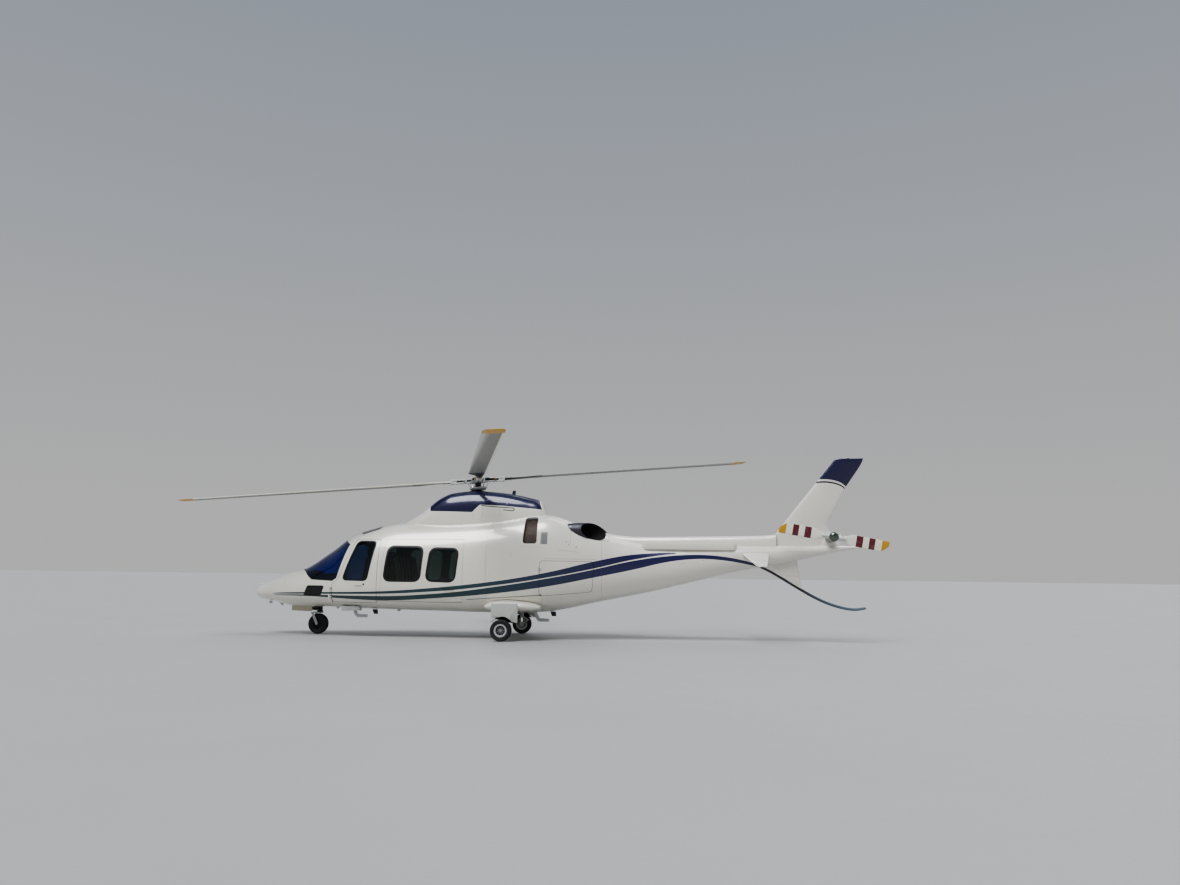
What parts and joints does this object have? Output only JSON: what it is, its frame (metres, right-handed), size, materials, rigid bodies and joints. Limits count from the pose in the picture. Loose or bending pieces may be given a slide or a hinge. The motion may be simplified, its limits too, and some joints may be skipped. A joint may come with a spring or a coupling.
{
  "type": "light twin-engine helicopter",
  "caption": "Light twin-engine helicopter on three wheels, with turning rotors, steered nose wheel, hinged cockpit doors and a baggage door.",
  "frame": {"origin": "on the ground, under the middle of the whole machine's box, 0.446 m behind the main axle", "axes": "nose to -X, tail to +X, starboard to +Y, up +Z"},
  "size_m": [12.8432, 10.525, 3.4815],
  "materials": {
    "white_paint": "gloss pearl white paint",
    "blue_paint": "gloss deep blue paint",
    "blue_glass": "clear windshield with a blue tint",
    "dark_glass": "dark tinted window",
    "exhaust_metal": "heat-darkened steel",
    "gear_metal": "satin grey paint",
    "machine_metal": "cast casing",
    "tyre_rubber": "matte black rubber",
    "rotor_metal": "satin black paint",
    "blade_paint": "satin grey paint with yellow tips",
    "seat_leather": "tan leather",
    "cabin_trim": "woven trim",
    "panel_plastic": "matte black"
  },
  "bodies": {
    "airframe": {"nose_section": "white_paint", "belly_tub": "white_paint", "roof_panel": "white_paint", "side_frame_left": "white_paint", "side_frame_right": "white_paint", "cabin_door_left": "white_paint", "cabin_door_right": "white_paint", "aft_fuselage": "white_paint", "engine_cowl_left": "white_paint", "engine_cowl_right": "white_paint", "pylon_base": "white_paint", "tail_boom": "white_paint", "drive_cover": "white_paint", "tail_fin": "white_paint", "ventral_fin": "white_paint", "stabilizer_left": "white_paint", "stabilizer_right": "white_paint", "gear_fairing_left": "white_paint", "gear_fairing_right": "white_paint", "nose_cone": "white_paint", "pylon_cap": "blue_paint", "windshield_left": "blue_glass", "windshield_right": "blue_glass", "roof_window_left": "dark_glass", "roof_window_right": "dark_glass", "cabin_window_left_front": "dark_glass", "cabin_window_left_rear": "dark_glass", "cabin_window_right_front": "dark_glass", "cabin_window_right_rear": "dark_glass", "exhaust_left": "exhaust_metal", "exhaust_right": "exhaust_metal", "main_leg_left": "gear_metal", "main_leg_right": "gear_metal", "nose_leg": "gear_metal", "engines": "machine_metal", "main_gearbox": "machine_metal", "pilot_seat_left": "seat_leather", "pilot_seat_right": "seat_leather", "cabin_seat_front": "seat_leather", "cabin_seat_rear": "seat_leather", "rear_bulkhead": "cabin_trim", "instrument_panel": "panel_plastic"},
    "main_rotor": {"rotor_head": "rotor_metal", "main_blade_1": "blade_paint", "main_blade_2": "blade_paint", "main_blade_3": "blade_paint", "main_blade_4": "blade_paint"},
    "tail_rotor_body": {"tail_rotor": "blade_paint"},
    "steering": {"nose_fork": "gear_metal"},
    "nose_wheel_body": {"nose_wheel": "tyre_rubber"},
    "wheel_left_body": {"wheel_left": "tyre_rubber"},
    "wheel_right_body": {"wheel_right": "tyre_rubber"},
    "door_left": {"cockpit_door_left": "white_paint", "cockpit_window_left": "dark_glass"},
    "door_right": {"cockpit_door_right": "white_paint", "cockpit_window_right": "dark_glass"},
    "baggage_lid": {"baggage_door": "white_paint"}
  },
  "joints": [
    {"name": "main_rotor_spin", "type": "hinge", "parent": "airframe", "child": "main_rotor", "pos_m": [-1.1856, 0, 2.95], "axis": [-0.1002, 0, 0.995], "continuous": true},
    {"name": "tail_rotor_spin", "type": "hinge", "parent": "airframe", "child": "tail_rotor_body", "pos_m": [5.4444, -0.45, 1.9], "axis": [0, -1, 0], "continuous": true},
    {"name": "nose_steering", "type": "hinge", "parent": "airframe", "child": "steering", "pos_m": [-4.1906, 0, 0.4], "axis": [0, 0, 1], "range_deg": [-50, 50]},
    {"name": "nose_wheel_spin", "type": "hinge", "parent": "steering", "child": "nose_wheel_body", "pos_m": [-4.2106, 0, 0.19], "axis": [0, 1, 0], "continuous": true},
    {"name": "wheel_left_spin", "type": "hinge", "parent": "airframe", "child": "wheel_left_body", "pos_m": [-0.4456, -1.12, 0.19], "axis": [0, 1, 0], "continuous": true},
    {"name": "wheel_right_spin", "type": "hinge", "parent": "airframe", "child": "wheel_right_body", "pos_m": [-0.4456, 1.12, 0.19], "axis": [0, 1, 0], "continuous": true},
    {"name": "cockpit_door_left_hinge", "type": "hinge", "parent": "airframe", "child": "door_left", "pos_m": [-3.7476, -0.726, 0.86], "axis": [0, -0.0436, -0.999], "range_deg": [0, 75]},
    {"name": "cockpit_door_right_hinge", "type": "hinge", "parent": "airframe", "child": "door_right", "pos_m": [-3.7476, 0.726, 0.86], "axis": [0, -0.0436, 0.999], "range_deg": [0, 75]},
    {"name": "baggage_door_hinge", "type": "hinge", "parent": "airframe", "child": "baggage_lid", "pos_m": [0.1424, -0.776, 1.1], "axis": [0, 0, -1], "range_deg": [0, 95]}
  ]
}
